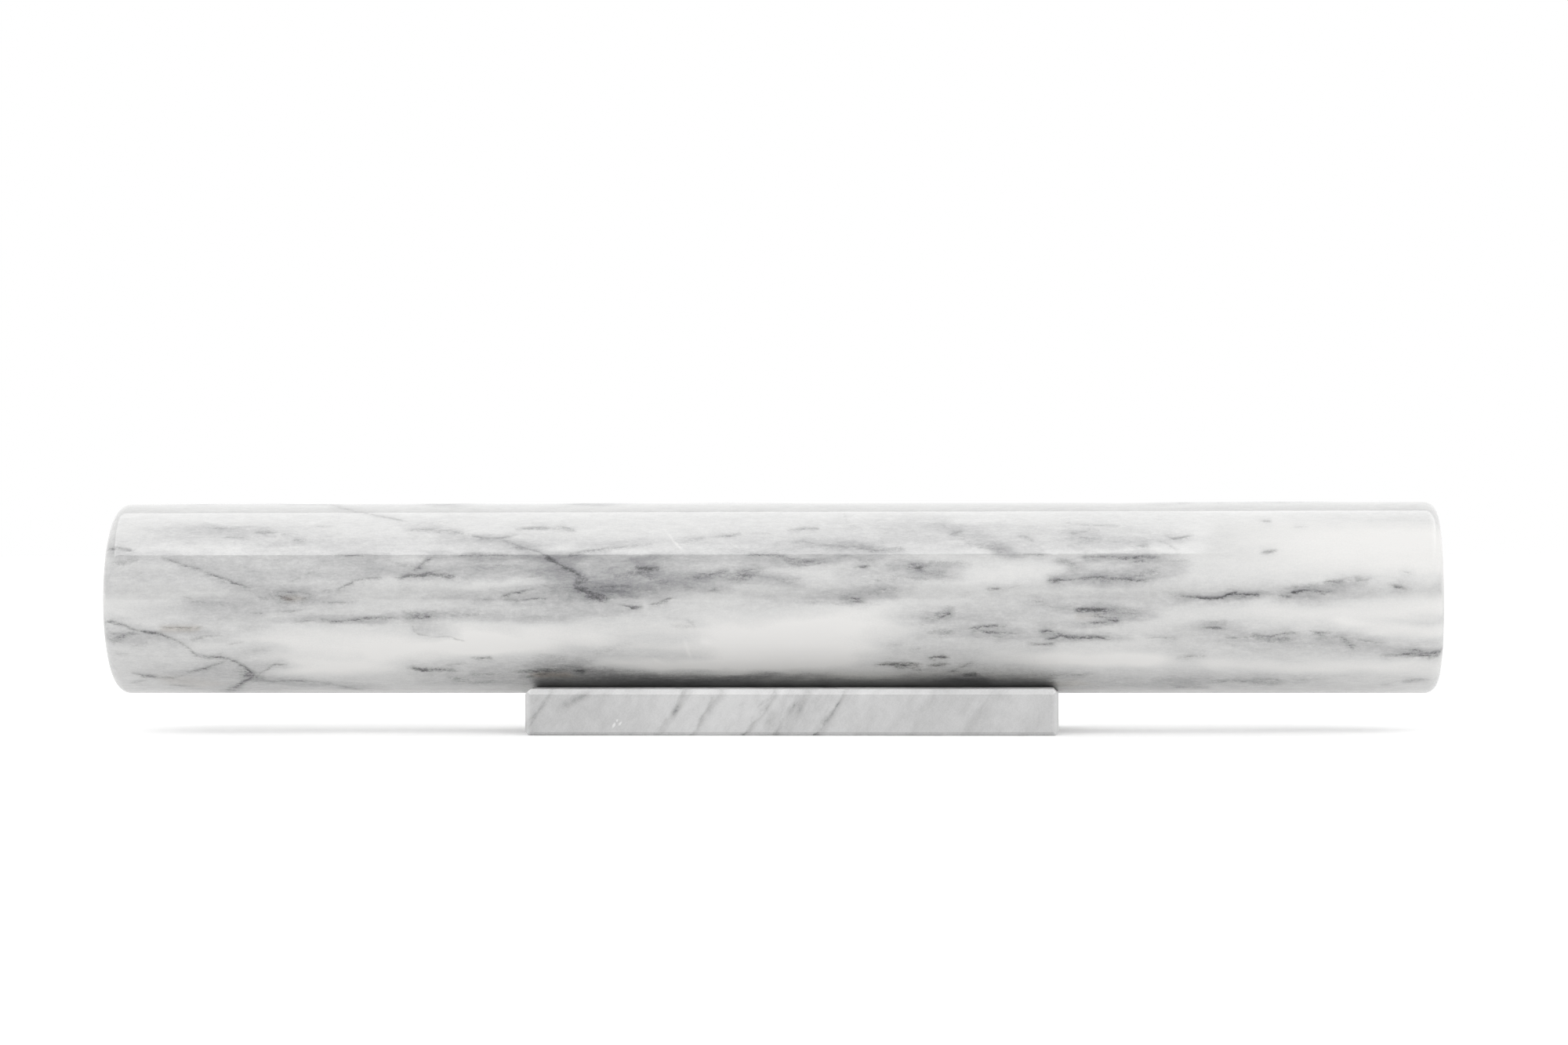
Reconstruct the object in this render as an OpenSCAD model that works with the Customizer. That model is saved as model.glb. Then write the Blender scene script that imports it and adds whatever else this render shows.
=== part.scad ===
// Marble rolling pin without handles, lying in the groove of a marble base.
// The frame stands on the table: +X runs along the pin, +Z is up, and the origin is on the
// underside, below the middle of the pin.

/* [Rolling pin] */
// Diameter of the pin
pin_d = 50; // [40:1:62]
// Length of the pin from end face to end face
pin_l = 345; // [250:1:450]
// Radius that rounds the arris at each end of the pin
pin_end_r = 3.5; // [1:0.5:10]

/* [Base] */
// Length of the base, along the pin
base_l = 136.5; // [80:0.5:200]
// Width of the base, across the pin
base_w = 56; // [44:1:80]
// Height of the base
base_h = 11.8; // [8:0.1:20]
// How far the middle of the base lies to the right of the middle of the pin
base_shift = 6; // [-50:1:50]
// Chamfer on the upper and upright arrises of the base
top_chamfer = 1.3; // [0.4:0.1:2.5]
// Chamfer on the arrises round the underside of the base
foot_chamfer = 0.9; // [0.4:0.1:2.5]

/* [Groove] */
// Depth of the groove below the top of the base
groove_depth = 2.2; // [1:0.1:4]
// Gap between the pin and the groove, all round their contact
groove_gap = 0.1; // [0.05:0.05:0.3]

/* [Hidden] */
$fn = 180;
pin_r = pin_d / 2;
groove_r = pin_r + groove_gap;
// The pin and the groove share one axis, so the pin's height follows the base and the groove
axis_z = base_h - groove_depth + groove_r;
// How far a cutting shape reaches past the faces that it cuts
over = 1;

// A rectangle from z = 0 up to h and w wide, with its lower corners cut by low and its upper ones by high
module chamfered_outline(w, h, low, high) {
    half = w / 2;
    polygon([
        [-half + low, 0],
        [half - low, 0],
        [half, low],
        [half, h - high],
        [half - high, h],
        [-half + high, h],
        [-half, h - high],
        [-half, low]
    ]);
}

// The slab as what three prisms share: its side, end and plan outlines, each with its corners cut
module chamfered_slab() {
    intersection() {
        rotate([90, 0, 0])
            linear_extrude(base_w, center = true)
                chamfered_outline(base_l, base_h, foot_chamfer, top_chamfer);
        rotate([90, 0, 90])
            linear_extrude(base_l, center = true)
                chamfered_outline(base_w, base_h, foot_chamfer, top_chamfer);
        translate([0, -base_w / 2, 0])
            linear_extrude(base_h)
                chamfered_outline(base_l, base_w, top_chamfer, top_chamfer);
    }
}

// Half of the pin's lengthwise section, with a quarter circle at each end
module pin_half_section() {
    half = pin_l / 2;
    union() {
        translate([0, -half + pin_end_r])
            square([pin_r, pin_l - 2 * pin_end_r]);
        translate([0, -half])
            square([pin_r - pin_end_r, pin_l]);
        intersection() {
            for (side = [-1, 1])
                translate([pin_r - pin_end_r, side * (half - pin_end_r)])
                    circle(pin_end_r);
            translate([0, -half])
                square([pin_r, pin_l]);
        }
    }
}

// Rolling pin, turned from one piece of stone
module rolling_pin() {
    color([0.89, 0.88, 0.87])
        translate([0, 0, axis_z])
            rotate([0, 90, 0])
                rotate_extrude()
                    pin_half_section();
}

// Base slab, with the groove cut through from end to end
module base() {
    color([0.78, 0.78, 0.77])
        translate([base_shift, 0, 0])
            difference() {
                chamfered_slab();
                translate([0, 0, axis_z])
                    rotate([0, 90, 0])
                        cylinder(r = groove_r, h = base_l + 2 * over, center = true);
            }
}

rolling_pin();
base();
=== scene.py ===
"""Marble rolling pin in the groove of its marble base: both stones' finish, the light and the camera."""

import math
import random

import bmesh
import bpy
import numpy as np
from mathutils import Matrix, Vector, noise


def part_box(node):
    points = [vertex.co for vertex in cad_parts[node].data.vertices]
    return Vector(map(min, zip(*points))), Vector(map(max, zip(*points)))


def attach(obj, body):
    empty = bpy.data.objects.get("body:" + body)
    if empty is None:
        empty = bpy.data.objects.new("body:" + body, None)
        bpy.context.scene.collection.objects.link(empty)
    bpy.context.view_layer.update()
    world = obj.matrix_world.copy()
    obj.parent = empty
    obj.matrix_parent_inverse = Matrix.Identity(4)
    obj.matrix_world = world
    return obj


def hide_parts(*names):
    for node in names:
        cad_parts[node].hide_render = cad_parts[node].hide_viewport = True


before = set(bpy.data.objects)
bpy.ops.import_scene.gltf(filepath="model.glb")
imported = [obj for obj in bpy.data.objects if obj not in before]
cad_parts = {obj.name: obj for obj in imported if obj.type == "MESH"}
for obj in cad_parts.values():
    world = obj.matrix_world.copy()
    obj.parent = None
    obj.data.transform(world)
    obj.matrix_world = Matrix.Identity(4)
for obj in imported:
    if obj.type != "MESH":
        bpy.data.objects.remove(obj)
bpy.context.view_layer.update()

# Sizes in metres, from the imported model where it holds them
MM = 0.001
PIN_LOW, PIN_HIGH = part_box("rolling_pin")
BASE_LOW, BASE_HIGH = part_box("base")
PIN_RADIUS = (PIN_HIGH.z - PIN_LOW.z) / 2
PIN_HALF = (PIN_HIGH.x - PIN_LOW.x) / 2
PIN_AXIS_Z = (PIN_HIGH.z + PIN_LOW.z) / 2
PIN_END_RADIUS = 3.5 * MM
GROOVE_GAP = 0.1 * MM
GROOVE_RADIUS = PIN_RADIUS + GROOVE_GAP
TOP_CHAMFER = 1.3 * MM
FOOT_CHAMFER = 0.9 * MM
MERGE_DISTANCE = 1e-6
CUT_TOLERANCE = 1e-7

# The camera stands where the photograph was taken: a long lens, low over the table
PHOTO_WIDTH = 2000
PHOTO_HEIGHT = 1333
SENSOR_WIDTH = 36.0
FOCAL_PIXELS = 5620.0
CAMERA_DISTANCE = 1.153
CAMERA_HEIGHT = 0.0544
CAMERA_SIDE = 0.0029
CAMERA_YAW = math.radians(2.98)
CAMERA_ROLL = math.radians(0.114)

UP = Vector((0, 0, 1))
camera_forward = Vector((-math.sin(CAMERA_YAW), math.cos(CAMERA_YAW), 0.0))
camera_level = Vector((math.cos(CAMERA_YAW), math.sin(CAMERA_YAW), 0.0))
camera_place = camera_level * CAMERA_SIDE - camera_forward * CAMERA_DISTANCE + UP * CAMERA_HEIGHT
camera_right = camera_level * math.cos(CAMERA_ROLL) - UP * math.sin(CAMERA_ROLL)
camera_up = camera_right.cross(camera_forward)


def photo_ray(px, py):
    """The way that a pixel of the photograph looks."""
    ray = camera_forward * FOCAL_PIXELS
    ray += camera_right * (px - PHOTO_WIDTH / 2)
    ray += camera_up * (PHOTO_HEIGHT / 2 - py)
    return ray


def on_pin(px, py):
    """Millimetres along the pin and round it, up from its front line, of a pixel of the photograph."""
    ray = photo_ray(px, py)
    start = camera_place - UP * PIN_AXIS_Z
    # The ray is inside the pin between the two lengths t where a t t + 2 b t + c is nought
    a = ray.y ** 2 + ray.z ** 2
    b = start.y * ray.y + start.z * ray.z
    c = start.y ** 2 + start.z ** 2 - PIN_RADIUS ** 2
    hit = start + ray * ((-b - math.sqrt(max(b * b - a * c, 0.0))) / a)
    return hit.x / MM, PIN_RADIUS * math.atan2(hit.z, -hit.y) / MM


def on_base(px, py):
    """Millimetres along and up the base's front face of a pixel of the photograph."""
    ray = photo_ray(px, py)
    hit = camera_place + ray * ((BASE_LOW.y - camera_place.y) / ray.y)
    return hit.x / MM, hit.z / MM


def linear(code):
    """Linear colour of an sRGB hex value."""
    parts = [int(code[i:i + 2], 16) / 255 for i in (1, 3, 5)]
    return tuple(p / 12.92 if p <= 0.04045 else ((p + 0.055) / 1.055) ** 2.4 for p in parts) + (1.0,)


def add(tree, kind, inputs=None, **settings):
    """Adds a node, sets its settings, and gives each input its value or its link."""
    made = tree.nodes.new(kind)
    for name, value in settings.items():
        setattr(made, name, value)
    for key, value in (inputs or {}).items():
        if isinstance(value, bpy.types.NodeSocket):
            tree.links.new(value, made.inputs[key])
        else:
            made.inputs[key].default_value = value
    return made


def set_ramp(node, stops):
    """Gives a colour ramp its stops, each a place and either a colour or a brightness."""
    elements = node.color_ramp.elements
    while len(elements) < len(stops):
        elements.new(0.5)
    for element, (place, colour) in zip(elements, stops):
        element.position = place
        element.color = colour if isinstance(colour, tuple) else (colour, colour, colour, 1.0)


def empty_tree(owner):
    """The node tree of a material, a light or a world, with nothing in it."""
    owner.use_nodes = True
    owner.node_tree.nodes.clear()
    return owner.node_tree


# Noise seldom leaves these two values, which become minus one and one
NOISE_LOW, NOISE_HIGH = 0.25, 0.75


def noise_fields(tree, place, kinds):
    """Noises by name, from minus one to one, each with its features' length and height in millimetres."""
    fields = {}
    for name, length, height, detail, roughness in kinds:
        scale = (1 / length, 1 / height, 1 / height)
        scaled = add(tree, "ShaderNodeMapping", {"Vector": place, "Scale": scale})
        raw = add(
            tree, "ShaderNodeTexNoise",
            {"Vector": scaled.outputs[0], "Scale": 1.0, "Detail": detail, "Roughness": roughness},
        )
        fields[name] = add(
            tree, "ShaderNodeMapRange",
            {
                "Value": raw.outputs[0], "From Min": NOISE_LOW, "From Max": NOISE_HIGH,
                "To Min": -1.0, "To Max": 1.0,
            },
        ).outputs[0]
    return fields


def roughened(tree, value, fields, amounts):
    """A value with some of the noises added to it, each times its amount."""
    for name, amount in amounts:
        value = add(
            tree, "ShaderNodeMath", {0: fields[name], 1: amount, 2: value}, operation="MULTIPLY_ADD"
        ).outputs[0]
    return value


def mesh_object(name, bm):
    """A smooth-shaded object of a finished bmesh, with its faces turned outwards."""
    mesh = bpy.data.meshes.new(name)
    bmesh.ops.recalc_face_normals(bm, faces=bm.faces)
    for face in bm.faces:
        face.smooth = True
    bm.to_mesh(mesh)
    bm.free()
    made = bpy.data.objects.new(name, mesh)
    bpy.context.scene.collection.objects.link(made)
    return made


# Pin: half of its lengthwise section, turned once round the axis. Its points lie close together,
# because the stone's markings are held on them
PIN_SEGMENTS = 264
BODY_RINGS = 300
ARRIS_RINGS = 10
CAP_RINGS = 22


def pin_profile():
    """(along the axis, distance from it) from the middle of the pin to the middle of its end face."""
    straight = PIN_HALF - PIN_END_RADIUS
    cap = PIN_RADIUS - PIN_END_RADIUS
    points = [(straight * i / (BODY_RINGS / 2), PIN_RADIUS) for i in range(BODY_RINGS // 2)]
    for i in range(ARRIS_RINGS + 1):
        turn = math.pi / 2 * i / ARRIS_RINGS
        points.append((straight + PIN_END_RADIUS * math.sin(turn), cap + PIN_END_RADIUS * math.cos(turn)))
    points += [(PIN_HALF, cap * (1 - i / CAP_RINGS)) for i in range(1, CAP_RINGS + 1)]
    return points


def build_pin():
    """The pin, turned in one piece."""
    half = pin_profile()
    profile = [(-x, r) for x, r in reversed(half[1:])] + half
    bm = bmesh.new()
    verts = [bm.verts.new((x, 0, PIN_AXIS_Z + r)) for x, r in profile]
    edges = [bm.edges.new(pair) for pair in zip(verts, verts[1:])]
    bmesh.ops.spin(
        bm, geom=verts + edges, cent=(0, 0, PIN_AXIS_Z), axis=(1, 0, 0), dvec=(0, 0, 0),
        angle=2 * math.pi, steps=PIN_SEGMENTS, use_merge=True, use_duplicate=False,
    )
    bmesh.ops.remove_doubles(bm, verts=bm.verts, dist=MERGE_DISTANCE)
    return mesh_object("marble_pin", bm)


# Base: a grooved bar, sawn off along each chamfer as a mason would, with its sharp edges worn soft
GROOVE_STEPS = 24
SOFT_ARRIS = 0.85 * MM
SOFT_ARRIS_STEPS = 4
# The groove's and the foot's arrises are this share as soft as the others
FINE_ARRIS_SHARE = 0.4
# An edge is sharp where its faces turn by more than this
SHARP_ANGLE = math.radians(15)
# Sharp edges this near the middle of the width are the groove's
GROOVE_REACH = 12 * MM


def sawn(bm, corner, direction, chamfer):
    """Takes off all that lies past a chamfer of a corner, and closes the cut."""
    outward = direction.normalized()
    bmesh.ops.bisect_plane(
        bm, geom=bm.verts[:] + bm.edges[:] + bm.faces[:], dist=CUT_TOLERANCE,
        plane_co=corner - outward * (chamfer / math.sqrt(2)), plane_no=outward, clear_outer=True,
    )
    bmesh.ops.holes_fill(bm, edges=[e for e in bm.edges if e.is_boundary], sides=0)


def mark_arrises(bm):
    """Marks how soft each sharp edge is worn: fully round the top and corners, less at groove and foot."""
    softness = bm.edges.layers.float.new("bevel_weight_edge")
    for edge in bm.edges:
        if edge.calc_face_angle(0.0) > SHARP_ANGLE:
            by_groove = max(abs(vert.co.y) for vert in edge.verts) < GROOVE_REACH
            by_foot = max(vert.co.z for vert in edge.verts) < 2 * FOOT_CHAMFER
            edge[softness] = FINE_ARRIS_SHARE if by_groove or by_foot else 1.0


# Weights of the three directions, at which no two places on the base rank the same
RANK = Vector((1.0, 2.718, 7.389))


def in_fixed_order(bm):
    """Snaps the points to a micron and sorts by place, since saw cuts leave an order of chance."""
    for vert in bm.verts:
        vert.co = [round(value, 6) for value in vert.co]
    bm.verts.sort(key=lambda vert: vert.co.dot(RANK))
    bm.edges.sort(key=lambda edge: (edge.verts[0].co + edge.verts[1].co).dot(RANK))
    bm.faces.sort(key=lambda face: face.calc_center_median().dot(RANK))


def build_base():
    """The base: its end outline with the groove, drawn out to its length, then chamfered and softened."""
    half_width = (BASE_HIGH.y - BASE_LOW.y) / 2
    reach = math.acos((PIN_AXIS_Z - BASE_HIGH.z) / GROOVE_RADIUS)
    outline = [
        (half_width, BASE_HIGH.z), (half_width, 0.0), (-half_width, 0.0), (-half_width, BASE_HIGH.z),
    ]
    for i in range(GROOVE_STEPS + 1):
        turn = -reach + 2 * reach * i / GROOVE_STEPS
        outline.append((GROOVE_RADIUS * math.sin(turn), PIN_AXIS_Z - GROOVE_RADIUS * math.cos(turn)))
    bm = bmesh.new()
    end = bm.faces.new([bm.verts.new((BASE_LOW.x, y, z)) for y, z in outline])
    swept = bmesh.ops.extrude_face_region(bm, geom=[end])["geom"]
    moved = [item for item in swept if isinstance(item, bmesh.types.BMVert)]
    bmesh.ops.translate(bm, verts=moved, vec=(BASE_HIGH.x - BASE_LOW.x, 0, 0))
    centre = (BASE_LOW + BASE_HIGH) / 2
    size = BASE_HIGH - BASE_LOW
    for side in (-1, 1):
        for direction, chamfer in (
            (Vector((side, 0, 1)), TOP_CHAMFER), (Vector((side, 0, -1)), FOOT_CHAMFER),
            (Vector((0, side, 1)), TOP_CHAMFER), (Vector((0, side, -1)), FOOT_CHAMFER),
            (Vector((side, -1, 0)), TOP_CHAMFER), (Vector((side, 1, 0)), TOP_CHAMFER),
        ):
            corner = centre + Vector([size[i] / 2 * direction[i] for i in range(3)])
            sawn(bm, corner, direction, chamfer)
    bmesh.ops.remove_doubles(bm, verts=bm.verts, dist=MERGE_DISTANCE)
    bmesh.ops.recalc_face_normals(bm, faces=bm.faces)
    mark_arrises(bm)
    in_fixed_order(bm)
    made = mesh_object("marble_base", bm)
    soften = made.modifiers.new("softened_arrises", "BEVEL")
    soften.width = SOFT_ARRIS
    soften.segments = SOFT_ARRIS_STEPS
    soften.limit_method = "WEIGHT"
    soften.harden_normals = True
    soften.use_clamp_overlap = True
    return made


# Markings of the pin's front, followed in the photograph. Each is its half height in pixels and
# its way, a list of (pixel x, pixel y, depth in hundredths). Clouds are greyer than the ground, or
# whiter where their depth is below nought
# Most clouds are the stone's own grey; those along the pin's foot over the base are painted shade, and the
# whiter bands just above them are painted light
CLOUDS_AND_PAINTED_SHADE = [
    (9, [(215, 678, 8), (260, 675, 20), (310, 680, 18), (330, 676, 8)]),
    (6, [(330, 696, 10), (400, 697, 15), (478, 698, 8)]),
    (9, [(140, 709, 25), (240, 711, 22), (340, 711, 20), (440, 711, 28), (500, 711, 28)]),
    (7, [(225, 716, 10), (260, 722, 25), (290, 722, 20), (330, 722, 12)]),
    (12, [(330, 730, 15), (400, 728, 20), (478, 725, 25)]),
    (16, [(130, 768, -14), (170, 768, -12), (215, 768, -5)]),
    (14, [(300, 752, 10), (345, 760, 30), (385, 762, 35), (400, 766, 15)]),
    (8, [(240, 766, 10), (300, 768, 15)]),
    (6, [(320, 800, 10), (360, 795, 20), (400, 790, 25), (478, 790, 30)]),
    (22, [(330, 815, -15), (380, 825, -30), (440, 825, -36), (520, 820, -36), (600, 815, -35)]),
    (20, [(600, 815, -35), (680, 812, -38), (740, 812, -30)]),
    (12, [(350, 850, -10), (400, 850, -20), (470, 848, -12)]),
    (9, [(140, 812, 25), (170, 812, 20), (200, 812, 15)]),
    (6, [(205, 806, 20), (240, 806, 25), (262, 806, 10)]),
    (9, [(250, 826, -10), (310, 824, -12)]),
    (12, [(215, 862, 15), (270, 858, 20), (310, 858, 30), (335, 862, 20)]),
    (8, [(200, 878, 10), (300, 878, 15), (380, 872, 10)]),
    (6, [(335, 850, 15), (360, 848, 20)]),
    (5, [(340, 869, 15), (400, 872, 20), (478, 877, 25)]),
    (5, [(520, 672, 10), (560, 674, 20), (600, 680, 25)]),
    (9, [(595, 690, 15), (640, 692, 25), (690, 698, 35)]),
    (6, [(740, 698, 15), (828, 694, 10)]),
    (7, [(560, 711, 20), (620, 712, 30), (680, 712, 45), (740, 712, 50), (790, 712, 30), (828, 711, 20)]),
    (12, [(478, 728, 25), (530, 728, 35), (570, 728, 30), (600, 724, 20)]),
    (14, [(600, 730, 22), (660, 728, 30), (710, 728, 35)]),
    (22, [(725, 738, 40), (770, 742, 50), (828, 740, 45), (870, 738, 35)]),
    (16, [(600, 765, 12), (660, 765, 20), (730, 768, 30), (790, 768, 20)]),
    (5, [(612, 747, -15), (650, 747, -12)]),
    (8, [(500, 785, 20), (550, 785, 32), (600, 784, 20), (680, 786, 20), (740, 786, 15), (790, 782, 10)]),
    (10, [(490, 852, 10), (550, 852, 15), (600, 855, 15), (680, 853, 20), (740, 852, 25), (790, 858, 15)]),
    (7, [(765, 848, -30), (828, 849, -40), (900, 850, -40)]),
    (8, [(560, 868, 15), (610, 868, 20), (680, 866, 15)]),
    (16, [(1020, 680, 5), (1080, 675, 10), (1170, 672, 12)]),
    (8, [(900, 697, 8), (970, 697, 10), (1040, 694, 24), (1100, 698, 38), (1150, 702, 25)]),
    (8, [(828, 714, 30), (900, 714, 25), (960, 713, 25)]),
    (8, [(980, 716, 25), (1030, 716, 45), (1080, 713, 40), (1120, 713, 25)]),
    (13, [(860, 738, 30), (920, 736, 50), (960, 733, 48), (990, 738, 25)]),
    (6, [(900, 752, 20), (930, 752, 25)]),
    (7, [(985, 741, 25), (1017, 741, 20)]),
    (12, [(1020, 757, 10), (1070, 757, 22), (1120, 752, 28), (1150, 750, 15)]),
    (9, [(960, 760, 10), (1010, 762, 15), (1060, 765, 15)]),
    (30, [(900, 830, -15), (960, 815, -40), (1030, 808, -50), (1090, 800, -45), (1120, 795, -30)]),
    (20, [(940, 842, -30), (1000, 832, -30)]),
    (22, [(790, 812, -15), (850, 812, -20), (900, 810, -20)]),
    (5, [(858, 792, 12), (890, 797, 15), (905, 795, 8)]),
    (6, [(930, 866, 10), (985, 858, 10)]),
    (7, [(1190, 662, 8), (1220, 678, 22), (1245, 692, 22), (1272, 703, 28)]),
    (6, [(1240, 699, 10), (1262, 700, 30), (1278, 704, 20)]),
    (8, [(1280, 698, 20), (1340, 698, 15), (1380, 698, 15)]),
    (9, [(1370, 684, 20), (1410, 688, 20), (1450, 694, 25)]),
    (8, [(1380, 713, 20), (1420, 712, 40), (1465, 713, 40), (1490, 716, 15)]),
    (12, [(1150, 722, 30), (1185, 730, 45), (1212, 728, 25)]),
    (14, [(1225, 735, -10), (1280, 728, -16), (1335, 725, -14)]),
    (11, [(1345, 735, 25), (1390, 735, 40), (1440, 733, 45), (1485, 730, 30)]),
    (8, [(1352, 714, 20), (1370, 722, 20)]),
    (14, [(1180, 785, 15), (1240, 780, 10), (1300, 772, 12), (1350, 772, 20)]),
    (9, [(1365, 778, 20), (1400, 780, 40), (1430, 784, 40), (1458, 782, 25)]),
    (5, [(1320, 797, 10), (1390, 794, 30), (1420, 792, 30)]),
    (9, [(1185, 806, 15), (1250, 806, 25), (1310, 810, 20), (1340, 815, 20)]),
    (6, [(1330, 806, 25), (1370, 811, 30), (1430, 813, 15)]),
    (12, [(1260, 838, -15), (1330, 842, -32), (1400, 840, -34), (1470, 842, -28)]),
    (9, [(1345, 870, 10), (1420, 870, 20), (1500, 872, 25)]),
    (15, [(1470, 790, -10), (1510, 785, -12)]),
    (8, [(1470, 690, 8), (1500, 690, 15), (1530, 688, 10)]),
    (30, [(1560, 680, -12), (1620, 682, -25), (1700, 690, -36), (1780, 690, -40), (1850, 690, -40)]),
    (20, [(1520, 724, -8), (1580, 724, -12), (1660, 722, -14), (1760, 722, -16), (1850, 728, -20)]),
    (5, [(1495, 760, 20), (1540, 762, 30), (1575, 760, 40), (1610, 758, 25)]),
    (8, [(1630, 758, 10), (1670, 752, 28), (1710, 746, 30), (1745, 742, 15)]),
    (12, [(1640, 762, 10), (1690, 760, 18), (1740, 756, 10)]),
    (16, [(1560, 776, -14), (1640, 782, -24), (1740, 782, -28), (1850, 775, -32)]),
    (8, [(1530, 796, 12), (1555, 798, 25), (1585, 800, 10)]),
    (11, [(1560, 812, 10), (1610, 816, 25), (1660, 816, 22), (1720, 820, 28), (1750, 822, 10)]),
    (7, [(1750, 826, 8), (1790, 832, 30), (1834, 834, 40)]),
    (10, [(1720, 795, -20), (1780, 805, -30), (1845, 808, -30)]),
    (10, [(1560, 848, -20), (1620, 848, -26), (1700, 850, -30), (1780, 852, -28), (1840, 856, -20)]),
    (8, [(1500, 866, 15), (1560, 868, 18), (1620, 869, 20), (1680, 867, 8)]),
    (4, [(1790, 868, 12), (1820, 866, 12)]),
    (8, [(130, 690, 12), (300, 690, 15), (560, 690, 15), (900, 690, 15), (1150, 690, 18), (1480, 690, 10)]),
    (10, [(240, 678, 8), (330, 677, 12), (400, 678, 8)]),
    (10, [(1130, 677, 10), (1300, 677, 14), (1480, 679, 10)]),
    (16, [(130, 735, 14), (240, 736, 16), (340, 738, 18), (430, 742, 10)]),
    (12, [(190, 774, 12), (260, 775, 22), (340, 776, 20)]),
    (7, [(240, 790, 14), (330, 790, 14)]),
    (9, [(250, 806, 8), (300, 810, 12), (340, 806, 10)]),
    (8, [(500, 704, 15), (560, 704, 10)]),
    (7, [
        (840, 705, 20), (900, 704, 12), (1000, 703, 15), (1070, 704, 15), (1180, 704, 18), (1250, 702, 15),
    ]),
    (10, [(780, 720, 15), (830, 718, 15)]),
    (10, [(1090, 732, 20), (1160, 732, 18)]),
    (8, [(1080, 762, 12), (1140, 760, 12)]),
    (10, [(1390, 764, 14), (1480, 764, 12), (1570, 766, 14)]),
    (8, [(1140, 786, 12), (1200, 788, 10), (1260, 790, 12), (1320, 788, 10)]),
    (10, [(490, 834, -15), (560, 828, -10), (620, 828, -18), (690, 828, -18)]),
    (12, [(1000, 838, -20), (1050, 836, -35), (1100, 832, -25)]),
    (9, [(540, 802, 18), (580, 806, 15)]),
    (13, [(670, 712, 10), (720, 718, 18), (780, 724, 20), (840, 724, 12)]),
    (14, [(710, 744, 15), (770, 752, 25), (830, 750, 20)]),
    (8, [(610, 728, 12), (680, 732, 15)]),
    (9, [(560, 706, 14), (620, 708, 15), (680, 706, 15)]),
    (10, [(940, 704, 10), (1000, 703, 14), (1070, 703, 14)]),
    (11, [(330, 858, -10), (440, 852, -28), (510, 850, -25), (560, 846, -10)]),
    (10, [(1340, 846, -12), (1440, 846, -16), (1560, 844, -10)]),
    (8, [(120, 735, -6), (180, 740, -6)]),
    (8, [(950, 846, -10), (990, 846, -20), (1040, 846, -38), (1075, 846, -20)]),
    # Painted shade: a grey band along the pin's foot over the base's left half, in the crevice between pin
    # and base
    (6, [(650, 868, 4), (690, 868, 12), (760, 868, 20), (830, 868, 30), (900, 868, 30), (960, 869, 12)]),
    # Painted light: whiter bands just above it, which lift the shade that falls there
    (6, [(800, 855, -5), (830, 855, -12), (860, 855, -5)]),
    (8, [(920, 858, -4), (990, 857, -16), (1100, 859, -20), (1150, 860, -6)]),
    # Painted shade: the same grey band over the base's right half
    (5, [(1190, 868, 8), (1222, 867, 50), (1255, 869, 52), (1275, 870, 10)]),
    (4, [(962, 864, 10), (985, 861, 25), (1005, 860, 12)]),
    (4, [(1018, 864, 10), (1045, 861, 22), (1062, 860, 8)]),
    (8, [(1060, 848, -8), (1100, 848, -14), (1150, 848, -10)]),
    (8, [(290, 830, 10), (320, 830, 26), (345, 830, 12)]),
    (7, [(180, 818, 8), (215, 818, 12), (250, 818, 5)]),
    (12, [(535, 806, 12), (590, 809, 20), (640, 806, 10)]),
    (10, [(820, 812, 8), (865, 814, 18), (900, 812, 6)]),
    (8, [(480, 760, 6), (560, 760, 14), (620, 760, 10)]),
    (9, [(1330, 820, -8), (1400, 822, -12), (1470, 820, -10)]),
]
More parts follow.
